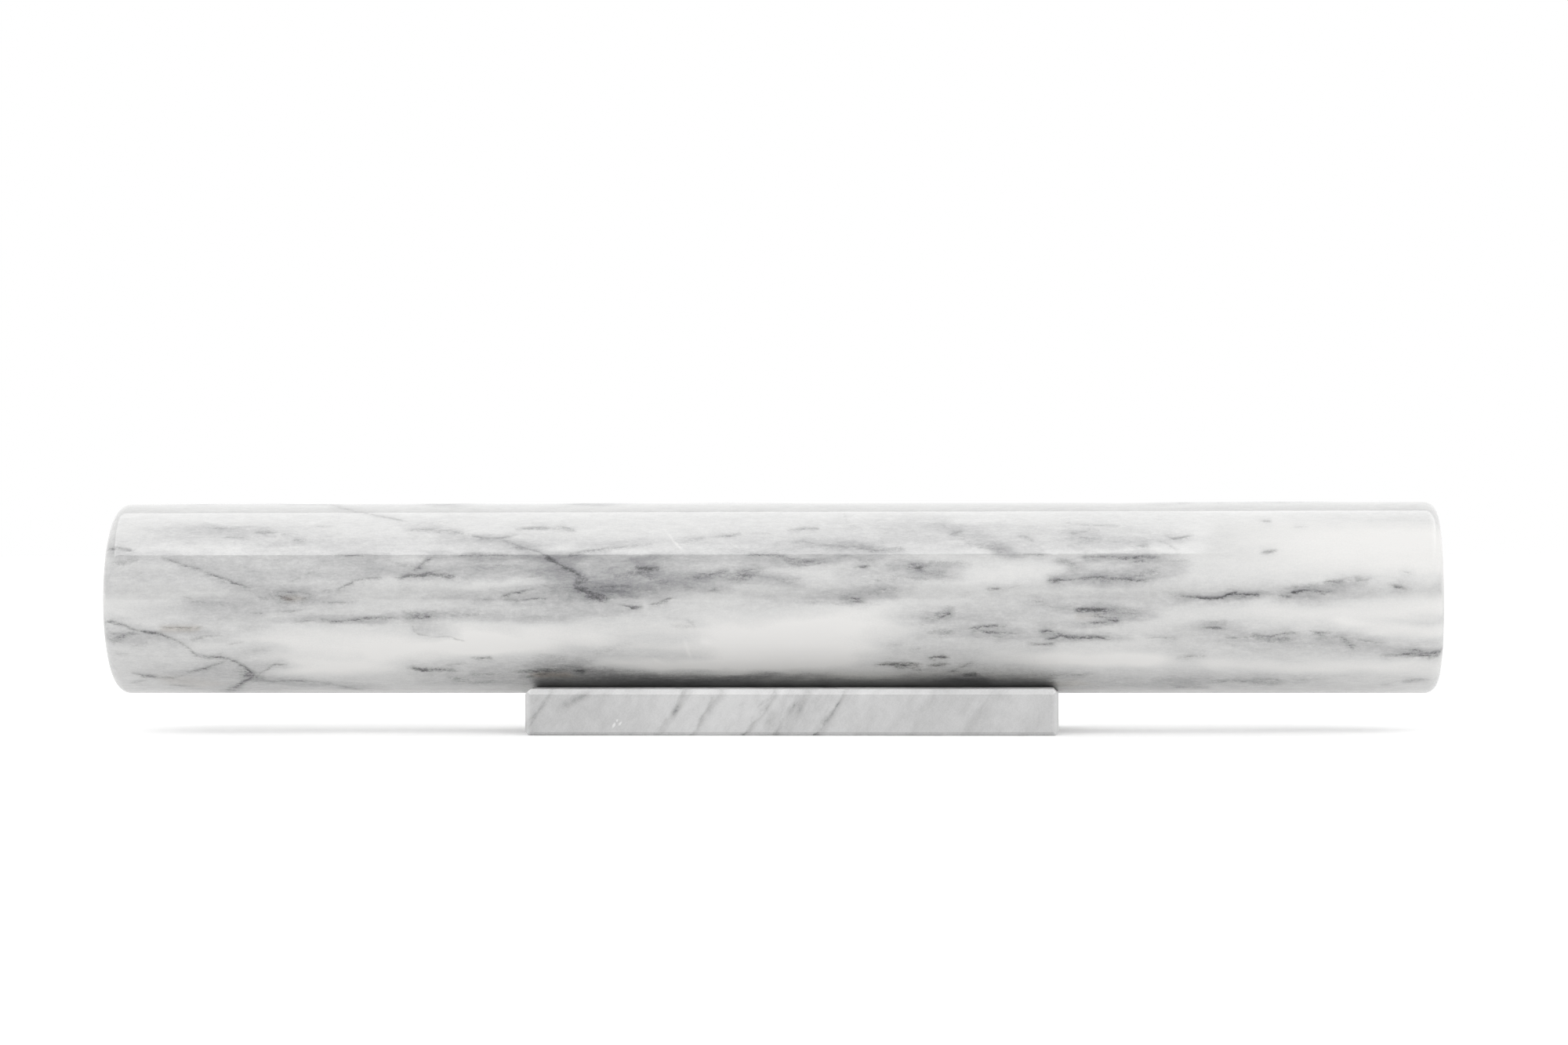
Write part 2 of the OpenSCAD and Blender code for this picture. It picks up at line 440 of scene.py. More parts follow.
SMUDGES = [
    (4, [(146, 719, 60), (160, 717, 80), (176, 714, 60)]),
    (4, [(364, 763, 100), (371, 764, 100)]),
    (7, [(358, 762, 60), (376, 764, 70), (396, 763, 50)]),
    (4, [(330, 762, 50), (345, 762, 70), (352, 764, 40)]),
    (4, [(143, 817, 80), (152, 815, 90), (166, 808, 90), (172, 806, 50)]),
    (6, [(310, 856, 60), (320, 861, 100), (328, 863, 80)]),
    (4, [(628, 722, 60), (640, 722, 80), (656, 722, 50)]),
    (5, [(736, 742, 80), (743, 736, 100), (748, 740, 90)]),
    (5, [(736, 748, 90), (746, 751, 90)]),
    (6, [(750, 758, 70), (762, 762, 100), (770, 766, 100)]),
    (7, [(790, 735, 50), (815, 728, 70), (828, 730, 70)]),
    (5, [(520, 782, 60), (535, 785, 100), (550, 784, 70)]),
    (4, [(555, 780, 60), (580, 784, 50)]),
    (4, [(665, 786, 40), (690, 786, 40)]),
    (5, [(575, 864, 50), (592, 867, 80), (602, 870, 50)]),
    (4, [(655, 856, 50), (680, 857, 80), (700, 856, 80), (720, 855, 50)]),
    (4, [(682, 838, 40), (700, 836, 50), (720, 840, 40)]),
    (6, [(760, 832, 30), (785, 825, 40), (800, 820, 30)]),
    (4, [(1085, 697, 60), (1120, 703, 80), (1150, 700, 70)]),
    (3, [(1120, 692, 40), (1135, 690, 40)]),
    (5, [(1000, 712, 50), (1010, 716, 90), (1030, 716, 80), (1050, 714, 70)]),
    (6, [(884, 736, 50), (905, 733, 70), (925, 730, 80)]),
    (7, [(930, 738, 70), (950, 735, 100), (968, 729, 80)]),
    (5, [(1000, 741, 60), (1017, 740, 60)]),
    (5, [(828, 738, 70), (845, 745, 50)]),
    (4, [(905, 752, 60), (918, 752, 60)]),
    (5, [(1078, 764, 60), (1096, 764, 90), (1104, 768, 60)]),
    (4, [(1120, 740, 60), (1150, 737, 50)]),
    (4, [(1110, 756, 60), (1145, 752, 50)]),
    (3, [(1030, 768, 50), (1045, 769, 50), (1080, 771, 50), (1120, 770, 50)]),
    (4, [(865, 798, 50), (885, 799, 60), (880, 793, 50)]),
    (5, [(1150, 850, 80), (1165, 848, 90), (1172, 853, 60)]),
    (5, [(1162, 722, 60), (1170, 724, 80), (1180, 722, 70)]),
    (5, [(1162, 738, 50), (1180, 740, 60)]),
    (4, [(1185, 718, 80), (1200, 718, 80), (1212, 718, 70), (1235, 716, 50)]),
    (6, [(1178, 732, 60), (1195, 732, 60), (1205, 735, 50)]),
    (5, [(1228, 688, 50), (1240, 694, 60)]),
    (5, [(1252, 697, 80), (1265, 698, 90), (1276, 702, 100)]),
    (4, [(1445, 698, 60), (1460, 697, 80)]),
    (5, [(1410, 738, 60), (1440, 737, 80), (1470, 729, 70), (1485, 733, 50)]),
    (4, [(1350, 714, 60), (1362, 716, 80), (1372, 722, 70), (1366, 726, 80)]),
    (5, [(1198, 786, 90), (1208, 783, 90), (1215, 776, 60)]),
    (4, [(1190, 806, 60), (1212, 806, 70), (1200, 814, 50)]),
    (6, [(1395, 785, 70), (1412, 788, 90), (1425, 789, 70)]),
    (6, [(1430, 780, 70), (1450, 782, 60)]),
    (4, [(1236, 861, 80), (1244, 861, 90)]),
    (4, [(1505, 838, 50), (1520, 837, 60), (1530, 837, 40)]),
    (3, [(1560, 755, 50), (1575, 753, 50)]),
    (4, [(1640, 751, 40), (1670, 750, 60), (1690, 756, 70), (1700, 754, 40)]),
    (5, [(1700, 744, 60), (1725, 740, 60), (1740, 741, 50)]),
    (5, [(1545, 795, 60), (1565, 793, 50)]),
    (6, [(1603, 813, 70), (1620, 817, 80), (1640, 815, 70)]),
    (4, [(1712, 816, 60), (1725, 824, 80)]),
    (4, [(1572, 823, 50), (1565, 820, 40)]),
    (6, [(1800, 834, 70), (1820, 834, 90), (1834, 836, 90)]),
    (4, [(1600, 872, 70), (1620, 872, 80), (1632, 871, 50)]),
]
VEINS = [
    (1.6, [(134, 699, 50), (150, 699, 85), (166, 702, 90), (172, 702, 30)]),
    (1.6, [(208, 711, 30), (218, 715, 70), (236, 721, 60), (256, 727, 75)]),
    (1.8, [(256, 727, 30), (266, 731, 60), (278, 736, 90), (296, 742, 80), (313, 749, 70), (320, 751, 30)]),
    (1.6, [(330, 679, 60), (342, 679, 90), (350, 679, 50)]),
    (1.1, [(361, 681, 50), (378, 682, 40)]),
    (1.4, [(379, 689, 80), (386, 689, 70)]),
    (1.3, [(290, 685, 40), (300, 685, 50), (311, 687, 60)]),
    (1.3, [(262, 673, 40), (285, 674, 50), (320, 672, 30)]),
    (1, [(404, 671, 30), (420, 671, 30)]),
    (1.4, [(330, 696, 20), (360, 696, 30)]),
    (1.2, [(396, 641, 30), (420, 644, 40), (450, 652, 45), (478, 657, 45), (510, 663, 50), (522, 667, 20)]),
    (1.6, [(425, 708, 50), (445, 708, 70), (463, 708, 80), (478, 708, 40)]),
    (1.2, [(372, 741, 30), (390, 733, 30), (408, 725, 30)]),
    (1.4, [(432, 751, 50), (441, 747, 80), (449, 743, 70)]),
    (1.6, [(452, 740, 50), (470, 738, 70), (482, 737, 70)]),
    (1, [(414, 753, 60), (424, 753, 50)]),
    (1.1, [(238, 762, 40), (246, 766, 50), (262, 768, 30)]),
    (1.2, [(244, 768, 20), (280, 768, 35), (300, 768, 20)]),
    (1.3, [(340, 756, 30), (360, 754, 40), (380, 755, 50), (394, 758, 40)]),
    (1.2, [(358, 779, 40), (375, 779, 50), (385, 777, 30)]),
    (1.1, [(322, 782, 50), (332, 782, 50)]),
    (1.2, [(400, 766, 30), (420, 768, 50), (445, 768, 50), (460, 766, 20)]),
    (1.7, [(376, 795, 40), (388, 792, 50), (398, 792, 40)]),
    (1.8, [(412, 790, 40), (426, 793, 70), (438, 792, 60), (452, 790, 60), (470, 788, 80), (500, 788, 60)]),
    (1.5, [
        (132, 796, 60), (141, 793, 100), (150, 795, 90), (160, 798, 80), (172, 804, 70), (188, 806, 90),
    ]),
    (1.5, [(188, 806, 90), (203, 808, 80), (215, 813, 70), (228, 818, 50), (238, 825, 70), (250, 835, 60)]),
    (1.6, [(250, 835, 60), (262, 838, 70), (282, 838, 80), (297, 842, 70), (312, 850, 70), (320, 858, 90)]),
    (1.5, [(205, 800, 40), (222, 801, 80), (240, 801, 70), (262, 799, 20)]),
    (1.4, [(246, 815, 50), (262, 812, 50), (280, 811, 40)]),
    (1.5, [(295, 821, 40), (308, 819, 40)]),
    (1.4, [(270, 836, 30), (286, 832, 30)]),
    (1.2, [(145, 808, 40), (158, 809, 50)]),
    (1.2, [(170, 824, 30), (185, 820, 40)]),
    (1, [(152, 834, 40), (160, 834, 30)]),
    (1.8, [(172, 859, 50), (182, 862, 90), (196, 863, 80), (202, 864, 30)]),
    (1.4, [(170, 870, 40), (185, 868, 40)]),
    (1.4, [(240, 858, 60), (254, 854, 60), (268, 850, 60), (284, 844, 50)]),
    (1.5, [(208, 864, 40), (222, 864, 50), (232, 862, 40)]),
    (1.4, [(222, 874, 40), (236, 875, 50), (244, 876, 30)]),
    (1.6, [(322, 864, 80), (312, 869, 80), (302, 876, 80), (294, 883, 70)]),
    (1.3, [(326, 860, 50), (340, 855, 50), (348, 848, 70), (362, 848, 60)]),
    (1.2, [(318, 870, 20), (340, 869, 40), (380, 868, 45), (410, 870, 40), (430, 874, 40), (460, 879, 40)]),
    (1.2, [(150, 738, 15), (168, 738, 25), (180, 731, 30)]),
    (1.6, [(525, 676, 50), (545, 675, 70), (560, 677, 60), (580, 678, 60), (594, 682, 40)]),
    (1.3, [(530, 670, 30), (560, 666, 30), (578, 666, 20)]),
    (1.5, [(598, 682, 40), (606, 684, 70), (625, 687, 70), (640, 686, 80), (655, 683, 50)]),
    (1.8, [
        (640, 689, 50), (652, 693, 70), (658, 697, 100), (672, 700, 80), (684, 703, 70), (694, 708, 90),
    ]),
    (2.2, [(694, 708, 80), (704, 714, 90), (712, 720, 70), (726, 726, 70), (738, 732, 70)]),
    (1.8, [(660, 675, 40), (672, 674, 70), (690, 673, 70), (706, 674, 40), (716, 672, 70), (730, 676, 60)]),
    (1.8, [(590, 708, 50), (602, 707, 80), (620, 707, 70), (640, 708, 60), (650, 707, 40)]),
    (1.8, [(728, 707, 70), (748, 703, 90), (765, 701, 90), (785, 699, 60), (828, 694, 30)]),
    (2.2, [(530, 726, 70), (538, 720, 80), (546, 714, 80), (552, 711, 40)]),
    (1.5, [(490, 713, 30), (510, 719, 40), (528, 724, 50)]),
    (2.2, [
        (508, 737, 60), (522, 734, 100), (538, 734, 100), (548, 731, 90), (560, 733, 90), (577, 735, 90),
    ]),
    (1.2, [(580, 738, 30), (600, 738, 30)]),
    (1.3, [(676, 736, 50), (690, 735, 50)]),
    (1.5, [(643, 760, 70), (652, 757, 70), (662, 755, 70), (676, 752, 50)]),
    (1.4, [(642, 764, 40), (665, 766, 60), (680, 764, 70), (692, 764, 70)]),
    (1.3, [(608, 766, 50), (620, 764, 50), (630, 765, 30)]),
    (1.5, [(735, 748, 70), (745, 755, 60), (757, 764, 60)]),
    (1.3, [(760, 749, 40), (780, 748, 50), (800, 747, 30)]),
    (2.2, [(812, 724, 70), (822, 725, 100), (838, 725, 100), (844, 725, 40)]),
    (1.8, [(795, 773, 60), (803, 775, 100), (814, 774, 80)]),
    (1.8, [(522, 788, 60), (538, 787, 90), (550, 786, 60)]),
    (1.3, [(580, 782, 40), (600, 784, 40), (640, 784, 20)]),
    (1, [(527, 798, 30), (528, 807, 40), (542, 810, 50), (552, 812, 20)]),
    (1, [(554, 813, 50), (570, 812, 50), (590, 817, 50)]),
    (1.6, [(602, 839, 40), (612, 840, 80), (624, 839, 70)]),
    (2, [(526, 852, 80), (536, 854, 100), (556, 854, 80), (578, 855, 60)]),
    (1.5, [(550, 846, 20), (570, 848, 30), (590, 846, 30)]),
    (1.6, [(606, 870, 50), (620, 871, 50), (630, 868, 30)]),
    (1.3, [(604, 860, 50), (620, 860, 40), (636, 860, 30)]),
    (1.3, [(672, 863, 40), (700, 858, 30)]),
    (1.5, [(736, 856, 70), (742, 856, 70)]),
    (1.3, [(868, 694, 30), (880, 689, 60), (896, 686, 40)]),
    (1.6, [(912, 684, 40), (930, 683, 70), (942, 681, 50)]),
    (1.3, [(950, 680, 30), (980, 680, 30)]),
    (1.5, [(1008, 676, 40), (1024, 674, 60), (1040, 674, 60)]),
    (1.5, [(1012, 692, 40), (1024, 690, 40), (1036, 693, 50)]),
    (2, [(1040, 695, 30), (1070, 697, 70), (1086, 696, 60), (1100, 700, 90), (1118, 702, 80)]),
    (1.8, [(955, 707, 50), (985, 708, 70), (1000, 709, 50)]),
    (1.5, [(1008, 719, 70), (1030, 721, 50), (1048, 718, 60)]),
    (1.8, [(1094, 723, 50), (1100, 723, 100), (1107, 722, 70)]),
    (1.5, [(1098, 715, 50), (1113, 715, 70)]),
    (1.6, [(885, 737, 40), (905, 733, 70), (926, 729, 70)]),
    (1.8, [(940, 728, 40), (960, 727, 80), (970, 728, 40)]),
    (2, [(830, 771, 50), (842, 769, 90), (852, 765, 90), (862, 762, 30)]),
    (1.5, [(1085, 764, 70), (1095, 764, 80), (1101, 769, 60)]),
    (1.8, [(1116, 849, 40), (1128, 847, 80), (1145, 847, 90), (1155, 849, 90)]),
    (1.5, [(1160, 829, 30), (1172, 828, 50)]),
    (1.4, [(1135, 823, 30), (1150, 822, 30)]),
    (1.8, [(1162, 724, 80), (1175, 724, 100)]),
    (1.3, [(1078, 658, 30), (1080, 668, 30), (1100, 675, 30)]),
    (1.5, [(1196, 668, 40), (1205, 670, 40)]),
    (1.8, [(1215, 681, 70), (1225, 678, 70), (1230, 678, 30)]),
    (1.5, [(1278, 704, 40), (1300, 706, 30), (1316, 706, 50), (1330, 708, 90), (1334, 708, 30)]),
    (1.6, [(1302, 684, 50), (1308, 683, 50), (1314, 688, 60)]),
    (1.6, [(1368, 680, 60), (1376, 680, 50), (1390, 676, 50), (1400, 677, 40)]),
    (1.8, [(1378, 685, 40), (1388, 688, 80), (1398, 688, 40)]),
    (1.4, [(1358, 667, 30), (1380, 669, 40), (1420, 670, 40), (1435, 670, 20)]),
    (1.6, [(1384, 710, 60), (1400, 709, 60), (1420, 710, 50)]),
    (1.8, [(1424, 712, 60), (1440, 712, 90), (1460, 709, 60), (1475, 710, 40)]),
    (1.8, [(1448, 716, 50), (1458, 716, 90)]),
    (2.6, [(1342, 740, 100), (1350, 740, 100), (1356, 739, 60)]),
    (1.6, [(1356, 740, 60), (1372, 740, 60), (1386, 737, 80), (1408, 736, 90), (1415, 740, 30)]),
    (2, [(1395, 740, 40), (1420, 738, 70), (1436, 739, 90), (1455, 740, 60), (1470, 738, 40)]),
    (1.6, [(1488, 684, 30), (1495, 687, 70), (1508, 686, 90), (1518, 683, 50)]),
    (1.3, [(1480, 690, 30), (1490, 694, 40), (1500, 700, 30)]),
    (1.6, [(1262, 752, 70), (1272, 751, 80)]),
    (1.3, [(1280, 752, 30), (1300, 747, 30)]),
    (1.3, [(1310, 766, 30), (1320, 767, 60), (1330, 767, 40)]),
    (1.3, [(1328, 771, 30), (1345, 775, 40)]),
    (1.8, [(1178, 789, 40), (1198, 788, 60), (1207, 784, 100), (1214, 781, 60)]),
    (1.6, [(1241, 801, 80), (1254, 799, 80), (1270, 798, 90)]),
    (1.6, [(1252, 805, 60), (1262, 806, 90), (1275, 807, 60), (1295, 808, 50)]),
    (1.3, [(1276, 799, 50), (1284, 798, 50)]),
    (1.4, [(1240, 814, 30), (1262, 812, 30), (1290, 812, 30)]),
    (1.8, [(1331, 805, 70), (1340, 805, 70), (1348, 806, 40)]),
    (1.8, [(1335, 815, 50), (1348, 813, 70), (1352, 811, 50)]),
    (1.8, [(1352, 809, 60), (1362, 813, 90), (1380, 813, 70), (1398, 812, 70), (1415, 814, 50)]),
    (1.8, [(1316, 821, 50), (1325, 823, 80), (1342, 821, 70)]),
    (2.2, [(1374, 778, 90), (1385, 777, 100), (1400, 777, 100), (1410, 778, 70), (1430, 779, 40)]),
    (1.6, [(1415, 791, 60), (1425, 792, 90)]),
    (1.5, [(1380, 796, 30), (1395, 794, 70), (1410, 793, 50)]),
    (1.3, [(1466, 814, 40), (1480, 813, 50), (1498, 814, 50)]),
    (1.8, [(1188, 839, 70), (1196, 838, 90), (1205, 838, 80)]),
    (1.8, [(1184, 849, 50), (1195, 848, 70), (1205, 847, 50)]),
    (1.4, [(1215, 856, 40), (1228, 850, 40), (1236, 846, 40)]),
    (1.4, [(1340, 861, 30), (1365, 861, 40), (1390, 860, 40)]),
    (1.5, [(1490, 759, 40), (1503, 762, 50), (1510, 761, 60), (1530, 762, 70)]),
    (1.2, [(1480, 716, 30), (1500, 715, 40), (1516, 716, 40)]),
    (1.6, [(1530, 763, 70), (1552, 763, 80), (1560, 762, 90), (1568, 758, 100), (1574, 756, 90)]),
    (1.8, [(1574, 758, 50), (1590, 759, 80), (1606, 758, 80), (1610, 757, 30)]),
    (1.6, [(1635, 760, 70), (1643, 760, 60)]),
    (1.8, [(1650, 755, 90), (1660, 754, 90), (1668, 753, 60)]),
    (1.6, [(1670, 745, 40), (1678, 748, 50)]),
    (1.8, [(1694, 742, 90), (1704, 741, 80), (1713, 741, 60)]),
    (1.5, [(1728, 741, 50), (1740, 740, 60), (1748, 738, 30)]),
    (1.8, [(1775, 747, 50), (1782, 748, 100), (1794, 750, 50)]),
    (1.2, [(1790, 729, 40), (1800, 731, 40)]),
    (1.8, [(1612, 704, 60), (1620, 703, 90), (1626, 702, 50)]),
    (1.6, [(1613, 665, 70), (1617, 665, 70)]),
    (1.2, [(1655, 672, 40), (1664, 672, 30)]),
    (1.8, [(1537, 801, 60), (1550, 800, 80), (1561, 801, 50)]),
    (1.4, [(1566, 813, 40), (1590, 813, 50), (1602, 812, 50)]),
    (1.6, [(1600, 809, 50), (1615, 812, 60), (1640, 808, 70), (1650, 807, 50)]),
    (1.8, [(1675, 806, 60), (1685, 808, 90), (1694, 807, 50)]),
    (1.3, [(1680, 814, 30), (1700, 814, 40)]),
    (1.6, [(1705, 812, 50), (1715, 814, 70), (1720, 820, 70), (1724, 826, 60), (1730, 828, 30)]),
    (1.5, [(1725, 814, 30), (1745, 818, 50), (1768, 821, 30)]),
    (2, [(1765, 836, 50), (1785, 835, 70), (1800, 834, 70), (1815, 836, 80), (1834, 838, 70)]),
    (2, [(1795, 829, 40), (1805, 829, 80), (1812, 831, 60)]),
    (1.6, [(1506, 839, 40), (1520, 837, 60), (1535, 837, 40)]),
    (1.5, [(1600, 866, 50), (1630, 867, 50)]),
    (1.3, [(1655, 868, 40), (1680, 866, 30)]),
    (1.4, [(1545, 869, 40), (1580, 868, 50), (1600, 869, 40)]),
    (1.5, [(1500, 876, 50), (1540, 877, 40)]),
    (1.5, [(1792, 869, 50), (1808, 867, 60), (1820, 867, 30)]),
    (1.2, [(1764, 874, 40), (1780, 870, 30)]),
]
# Rust from iron in the stone, and white calcite
RUST_STAINS = [
    (5, [(204, 802, 90), (246, 802, 90)]),
    (5, [(362, 764, 70), (376, 764, 60)]),
    (7, [(213, 868, 40), (250, 872, 50)]),
    (4, [(684, 861, 70), (722, 861, 70)]),
    (5, [(1356, 872, 40), (1370, 872, 40)]),
    (5, [(1375, 787, 40), (1392, 787, 40)]),
]
CALCITE_MARKS = [
    (0.8, [(847, 674, 20), (857, 688, 35), (866, 698, 45)]),
    (1.1, [(866, 698, 35), (869, 700, 35)]),
    (3.2, [(899, 819, 90), (903, 820, 90)]),
    (1.2, [(875, 822, 50), (879, 834, 50)]),
    (1.2, [(836, 842, 50), (848, 848, 50)]),
]
# Markings of the end faces, made up so that the front's veins run on to them. Each is its half width and
# its way, a list of (millimetres back, millimetres up, depth in hundredths) from the pin's axis
LEFT_END_VEINS = [
    (0.3, [
        (-22, -6.3, 90), (-17, -5, 80), (-11, -6, 70), (-5, -2, 80), (1, -1, 60), (8, 4, 70), (15, 5, 30),
    ]),
    (0.25, [(-5, -2, 70), (-3, -6, 60), (1, -9, 70), (3, -14, 50), (8, -18, 30)]),
    (0.25, [(-19, 10, 70), (-14, 11.5, 70), (-9, 10, 40)]),
]
LEFT_END_CLOUDS = [
    (4.5, [(-18, 9, 15), (-6, 12, 22), (6, 9, 25), (16, 11, 10)]),
    (3.5, [(-12, -2, 20), (0, 1, 25), (12, 5, 15)]),
    (4, [(2, -12, 25), (10, -17, 20)]),
    (5, [(-14, -14, -20), (-6, -18, -15)]),
    (5.5, [(8, 18, -15), (18, -3, -20)]),
]
LEFT_END_SMUDGES = [
    (1, [(-6, -2.5, 70), (-4, -4, 90)]),
    (0.8, [(6, 8, 50), (9, 9, 60)]),
]
RIGHT_END_VEINS = [
    (0.3, [(-19, -13, 80), (-13, -12.5, 70), (-7, -14, 80), (-1, -11, 70), (5, -12, 50), (11, -10, 30)]),
    (0.2, [(4, 6, 50), (8, 7.5, 60), (12, 7, 30)]),
]
RIGHT_END_CLOUDS = [
    (3.5, [(-18, -13, 35), (-6, -13, 30), (4, -12, 25), (14, -9, 10)]),
    (3, [(-2, 4, 12), (8, 7, 22), (16, 6, 10)]),
    (7, [(-14, 6, -30), (-4, 14, -30), (8, 18, -20)]),
    (6, [(0, -3, -20), (12, -1, -15)]),
]
RIGHT_END_SMUDGES = [
    (1.1, [(-14, -13, 60), (-8, -13.5, 80)]),
    (0.7, [(7, 7, 50), (10, 7.5, 50)]),
]
# Markings of the top, back and underside, drawn by chance in the same mix as the front's: what they are,
# how many, from and to for half height, length and depth, their lean, and how many stretches a way has
UNSEEN_MIX = (
    ("clouds", 54, (1.4, 4.0), (12, 50), (0.12, 0.42), 0.10, 3),
    ("smudges", 60, (0.7, 1.6), (2, 14), (0.35, 0.9), 0.20, 2),
    ("veins", 80, (0.2, 0.34), (3, 20), (0.35, 0.95), 0.30, 4),
    ("veins", 8, (0.22, 0.32), (30, 60), (0.5, 0.95), 0.55, 9),
    ("clouds", 12, (2.5, 5.5), (25, 70), (-0.38, -0.15), 0.05, 3),
)
UNSEEN_SEED = 23
# They lie between these millimetres round the pin, up from its front line, and this far from its middle
UNSEEN_FROM, UNSEEN_TO = 34.0, 117.0
UNSEEN_REACH = 160.0
# How far the dark marks stray from a cloud, along and round, and how much a way wanders for its length
STRAY_ALONG, STRAY_ROUND = 5, 2.5
WANDER = 0.08

# Grey of the pin where no marking lies
GROUND_DEPTH = 0.38
# Spots are drawn out along the pin, and fade out a little past their half height
CLOUD_SQUEEZE = 0.5
SMUDGE_SQUEEZE = 0.6
SPREAD = 1.4
# Veins lie in layers, so that those that cross stay whole. They thin out past their ends, reach a little
# beyond their width, and grey the stone beside them
VEIN_LAYERS = 8
VEIN_TAPER = 2.0
VEIN_REACH = 1.6
VEIN_SHOULDER = 3
HALO = 0.17
# Bends of the outlines: features per millimetre along and across, then the millimetres they move a place
# Seed of the bends, which would be new in each run without it
BEND_SEED = 4
SLOW_BEND = (0.04, 0.12)
QUICK_BEND = (0.12, 0.4)
CLOUD_BEND_ALONG = (5.0, 3.0)
CLOUD_BEND_ROUND = (1.2, 0.9)
SMUDGE_BEND = (1.5, 0.6)
RUST_BEND = 5.0
# An end face's markings reach over this share of its arris
FACE_SHARE = 0.25
GIRTH = 2 * math.pi * PIN_RADIUS / MM


def measured(markings):
    """The ways of markings given in pixels, in millimetres: (along, round, half width, depth) points."""
    ways = []
    for half_height, points in markings:
        way = []
        for px, py, depth in points:
            along, around = on_pin(px, py)
            half = (on_pin(px, py - half_height)[1] - on_pin(px, py + half_height)[1]) / 2
            way.append((along, around, half, depth / 100))
        ways.append(way)
    return ways


def on_face(markings):
    """The ways of markings given in millimetres on an end face."""
    return [[(y, z, half, depth / 100) for y, z, depth in points] for half, points in markings]


def unseen_markings():
    """The ways of the markings on the pin's top, back and underside, by what they are."""
    draw = random.Random(UNSEEN_SEED)
    made = {"clouds": [], "smudges": [], "veins": []}
    for kind, count, halves, lengths, depths, lean, stretches in UNSEEN_MIX:
        for _ in range(count):
            length = draw.uniform(*lengths)
            slope = draw.uniform(-lean, lean)
            if kind == "clouds":
                middle = draw.uniform(-UNSEEN_REACH, UNSEEN_REACH)
                level = draw.uniform(UNSEEN_FROM, UNSEEN_TO)
            else:
                # The dark marks gather in the grey
                middle, level = draw.choice(draw.choice(made["clouds"]))[:2]
                middle, level = middle + draw.gauss(0, STRAY_ALONG), level + draw.gauss(0, STRAY_ROUND)
            half = draw.uniform(*halves)
            way = []
            for joint in range(stretches + 1):
                share = joint / stretches - 0.5
                wander = draw.gauss(0, half + length / stretches * WANDER)
                around = level + slope * length * share + wander
                # A way that would leave the unseen sides is folded back into them
                around = UNSEEN_TO - abs(UNSEEN_TO - UNSEEN_FROM - abs(around - UNSEEN_FROM))
                way.append((middle + length * share, around, half, draw.uniform(*depths)))
            made[kind].append(way)
    return made


def follow(way, along, around, squeeze):
    """Of each point of the skin: gap to the way, signed offset, length past its ends, half width, depth."""
    x_first, s_first = way[0][:2]
    u = (along - x_first) * squeeze
    v = (around - s_first + GIRTH / 2) % GIRTH - GIRTH / 2
    gap = np.full(len(u), np.inf)
    offset, past, half, depth = (np.zeros(len(u)) for _ in range(4))
    last = len(way) - 2
    for i, ((x0, s0, w0, k0), (x1, s1, w1, k1)) in enumerate(zip(way, way[1:])):
        du, dv = (x1 - x0) * squeeze, s1 - s0
        run = math.hypot(du, dv)
        pu, pv = u - (x0 - x_first) * squeeze, v - (s0 - s_first)
        share = (pu * du + pv * dv) / run ** 2
        held = np.clip(share, 0, 1)
        here = np.hypot(pu - held * du, pv - held * dv)
        side = (du * pv - dv * pu) / run
        beyond = np.zeros(len(u))
        if i == 0:
            beyond = np.maximum(beyond, -share * run)
        if i == last:
            beyond = np.maximum(beyond, (share - 1) * run)
        nearer = here < gap
        gap[nearer] = here[nearer]
        offset[nearer] = np.where(beyond > 0, side, np.copysign(here, side))[nearer]
        past[nearer] = beyond[nearer]
        half[nearer] = (w0 + held * (w1 - w0))[nearer]
        depth[nearer] = (k0 + held * (k1 - k0))[nearer]
    return gap, offset, past, half, depth


def in_reach(way, along, reach):
    """The points of the skin that lie no farther along than a way can reach."""
    ends = [point[0] for point in way]
    return np.flatnonzero((along > min(ends) - reach) & (along < max(ends) + reach))


def bump(distance):
    """One at nought, and a soft way down to nought at one."""
    return np.clip(1 - distance ** 2, 0, 1) ** 2


def skin_places(mesh):
    """Each point in millimetres: along the pin and over its arris, round it, and from its middle."""
    flat = np.empty(len(mesh.vertices) * 3)
    mesh.vertices.foreach_get("co", flat)
    x, y, z = (flat.reshape(-1, 3) / MM).T
    z = z - PIN_AXIS_Z / MM
    radius = np.hypot(y, z)
    straight = (PIN_HALF - PIN_END_RADIUS) / MM
    cap = (PIN_RADIUS - PIN_END_RADIUS) / MM
    turn = np.arctan2(np.maximum(np.abs(x) - straight, 0), np.maximum(radius - cap, 1e-9))
    over = PIN_END_RADIUS / MM * turn
    along = np.where(np.abs(x) > straight, straight + over + np.maximum(cap - radius, 0), np.abs(x))
    return np.copysign(along, x), PIN_RADIUS / MM * np.arctan2(z, -y), np.stack([x, y, z], 1)


def bends(places, per_along, per_across):
    """Three noises from minus one to one at each place."""
    return np.array([
        noise.noise_vector(Vector((x * per_along, y * per_across, z * per_across))) for x, y, z in places
    ])


def lay_spots(values, ways, along, around, shown, squeeze, piled):
    """Lays soft spots, either piled on what is there or where they are the deeper."""
    for way in ways:
        reach = max(point[2] for point in way) * SPREAD / squeeze
        near = in_reach(way, along, reach)
        gap, _, _, half, depth = follow(way, along[near], around[near], squeeze)
        spot = depth * bump(gap / (half * SPREAD)) * shown[near]
        values[near] = values[near] + spot if piled else np.maximum(values[near], spot)


